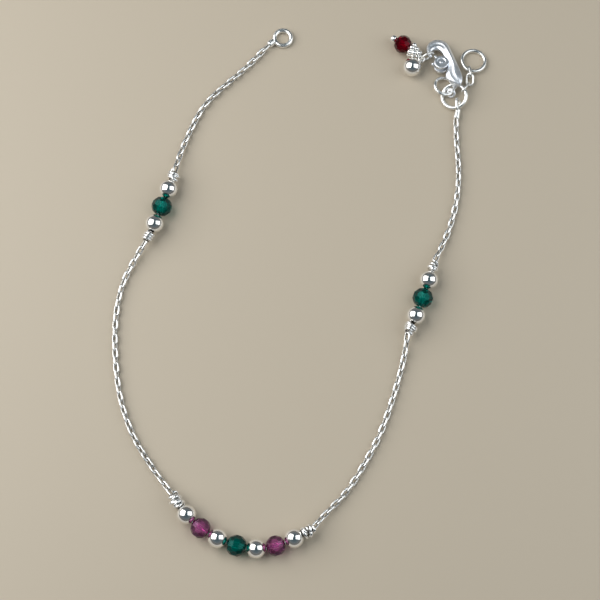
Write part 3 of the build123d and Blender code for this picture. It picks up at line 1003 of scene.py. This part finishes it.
def round_section(turn):
    """Bevelled oval: across and up, with a fine step along its outer shoulder."""
    across = squared(math.cos(turn), round_squareness)
    up = squared(math.sin(turn), round_squareness)
    if 0.50 < across < 0.80 or -0.25 < across < 0.05:
        up *= shoulder_step
    return across, up


def ridge_section(turn):
    """Roof: a ridge a little outside the middle, two flanks, and upright sides."""
    across = squared(math.cos(turn), roof_squareness)
    fall = (across - ridge_at) / (1 - ridge_at if across > ridge_at else 1 + ridge_at)
    roof = 1 - flank_drop * abs(fall) ** flank_curve
    side = min(1, abs(math.sin(turn)) * side_steepness)
    return across, math.copysign(roof * side, math.sin(turn))


def cast_bar(rings, around):
    """A closed tube with each of its rings pulled to its place in the clasp's plane."""
    bar = added(bpy.ops.mesh.primitive_cylinder_add, vertices=around, radius=1, depth=2,
                end_fill_type="TRIFAN")
    bpy.ops.object.mode_set(mode="EDIT")
    mesh = bmesh.from_edit_mesh(bar.data)
    bpy.ops.mesh.select_all(action="DESELECT")
    for edge in mesh.edges:  # those that run along the bar
        edge.select_set(abs(edge.verts[0].co.z - edge.verts[1].co.z) > 1)
    bmesh.update_edit_mesh(bar.data)
    bpy.ops.mesh.subdivide(number_cuts=len(rings) - 2)
    mesh = bmesh.from_edit_mesh(bar.data)
    for vert in mesh.verts:
        outer, inner, thick, ridged = rings[round((1 - vert.co.z) / 2 * (len(rings) - 1))]
        outer, inner = Vector((*outer, 0)), Vector((*inner, 0))
        turn = math.atan2(vert.co.y, vert.co.x)
        flat, roof = round_section(turn), ridge_section(turn)
        across, up = (a + (b - a) * ridged for a, b in zip(flat, roof))
        if math.hypot(vert.co.x, vert.co.y) < 0.5:  # the middle of an end
            across, up = 0, 0
        half = (outer - inner) / 2
        vert.co = ((outer + inner) / 2 + half * across + Vector((0, 0, thick * up))) * MM
    bmesh.update_edit_mesh(bar.data)
    bpy.ops.mesh.select_all(action="SELECT")
    bpy.ops.mesh.normals_make_consistent(inside=False)
    bpy.ops.object.mode_set(mode="OBJECT")
    soften = bar.modifiers.new("soften", "SUBSURF")
    soften.levels = 2
    bpy.ops.object.modifier_apply(modifier="soften")
    return bar


clasp_bar = cast_bar(CLASP_RINGS, clasp_around)
print("hook and spine:", len(clasp_bar.data.polygons), "faces")

# %% Cheeks
cheek_radius, cheek_low, cheek_high = 1.5, 0.48, 1.2
rim_width, rim_rise = 0.16, 0.05
face_width, dish_edge, dish_depth = 0.34, 0.14, 0.07


def cheek(side):
    """A round cheek with a softened rim and a shallow dish about the pin."""
    plate = added(bpy.ops.mesh.primitive_cylinder_add, vertices=56,
                  radius=cheek_radius * MM, depth=(cheek_high - cheek_low) * MM,
                  location=(0, 0, (cheek_high + cheek_low) / 2 * side * MM))
    settle(plate)
    bpy.ops.object.mode_set(mode="EDIT")
    mesh = bmesh.from_edit_mesh(plate.data)
    for face in mesh.faces:  # only the one that looks outward
        face.select_set(face.normal.z * side > 0.9)
    bmesh.update_edit_mesh(plate.data)
    bpy.ops.mesh.inset(thickness=rim_width * MM)
    bpy.ops.transform.translate(value=(0, 0, rim_rise * side * MM))
    bpy.ops.mesh.inset(thickness=face_width * MM)
    bpy.ops.mesh.inset(thickness=dish_edge * MM)
    bpy.ops.transform.translate(value=(0, 0, -dish_depth * side * MM))
    bpy.ops.object.mode_set(mode="OBJECT")
    return plate


cheeks = [cheek(1), cheek(-1)]
print("cheeks:", [len(plate.data.polygons) for plate in cheeks], "faces")

# %% Pin and tail loop, and the casting as a whole
clasp_pin_reach, clasp_pin_radius = 1.33, 0.29
clasp_pin = turned_rod((0, 0, -clasp_pin_reach), (0, 0, clasp_pin_reach),
                       clasp_pin_radius, clasp_pin_radius)
tail_loop_at = Vector((31.580, 41.774, 0.872))
tail_loop_dia, tail_loop_wire = 2.14, 0.54
tail_loop = jump_ring(tail_loop_dia, tail_loop_wire, around=48, section=14)
settle(tail_loop, pose_matrix(tail_loop_at * MM, heading(43, -1.0), heading(-47)))
tail_x, tail_y, tail_foot_radius, tail_top_radius = 1.5, -5.3, 0.5, 0.32
tail_foot = clasp_pivot + clasp_x * tail_x + clasp_y * tail_y
tail_top = Vector((31.994, 42.160, 1.438))
tail_neck = turned_rod(tail_foot, tail_top, tail_foot_radius, tail_top_radius)
flat_parts = [clasp_bar, *cheeks, clasp_pin]
for part in flat_parts:
    settle(part, clasp_place)
clasp_body = soldered([*flat_parts, tail_loop, tail_neck], "clasp_body_cast",
                      grain=0.055, passes=3)
keep_piece(clasp_body, clasp_silver, "cast_clasp", "clasp_body")
print("clasp body:", len(clasp_body.data.polygons), "faces")

# %% [markdown]
# ## Lever
# The lever turns on the pin between the cheeks: a hub, a tongue that closes the hook, and
# a rounded tab for the thumb. It is the one hard piece that moves by itself, so it is kept
# apart from the body and rides on its own hinge. It could be cut from one flat outline,
# but a real one is cast with rounded arms, so each arm is a tapered rod that ends in a
# ball, and all of it is melted into one skin as the clasp is.

# %% Lever
hub_dia, hub_wire = 1.56, 0.42
hub_stretch = 1.9  # how much taller the hub is than its wire is thick
arm_start = 0.5  # from the pivot, so each arm starts inside the hub
# heading from the pivot, reach, radius at the foot and radius at the rounded end
TONGUE, THUMB_TAB = (99.4, 2.66, 0.38, 0.32), (155, 2.14, 0.34, 0.42)


def lever_arm(angle, reach, foot, end):
    """A tapered arm from the hub, with a ball for its rounded end."""
    way = heading(angle)
    rod = turned_rod(way * arm_start, way * (reach - end), foot, end)
    return [rod, round_ball(way * (reach - end), end, segments=24, rings=16)]


hub = torus_of_wire(hub_dia, hub_wire, around=48, section=16)
make_taller(hub, hub_stretch)
lever_parts = [hub, *lever_arm(*TONGUE), *lever_arm(*THUMB_TAB)]
for part in lever_parts:
    settle(part, clasp_place)
lever_cast = soldered(lever_parts, "lever_cast", grain=0.045, passes=3)
keep_piece(lever_cast, clasp_silver, "cast_clasp", "clasp_lever", body="lever")
print("lever:", len(lever_cast.data.polygons), "faces")

# %% [markdown]
# ## Floor
# The anklet lies on a plain pale surface. Polished silver mirrors whatever it lies on, so
# a plain matt floor would make the rim of each ball vanish into it. A soft sheen, as paper
# and cloth have, makes the floor brighter where it is seen at a low angle, which is how
# the balls see it, and so their rims stand out.

# %% Floor
floor = added(bpy.ops.mesh.primitive_plane_add, size=2.0, location=(0, 0, 0))
floor.name = "floor"
floor_finish, floor_shader, _, _ = new_finish("floor_finish")
set_inputs(floor_shader, {"Base Color": (0.50, 0.43, 0.33, 1), "Roughness": 0.5,
                          "Specular IOR Level": 0.7, "Sheen Weight": 1.0,
                          "Sheen Roughness": 0.5})
floor.data.materials.append(floor_finish)
print("floor at z = 0")
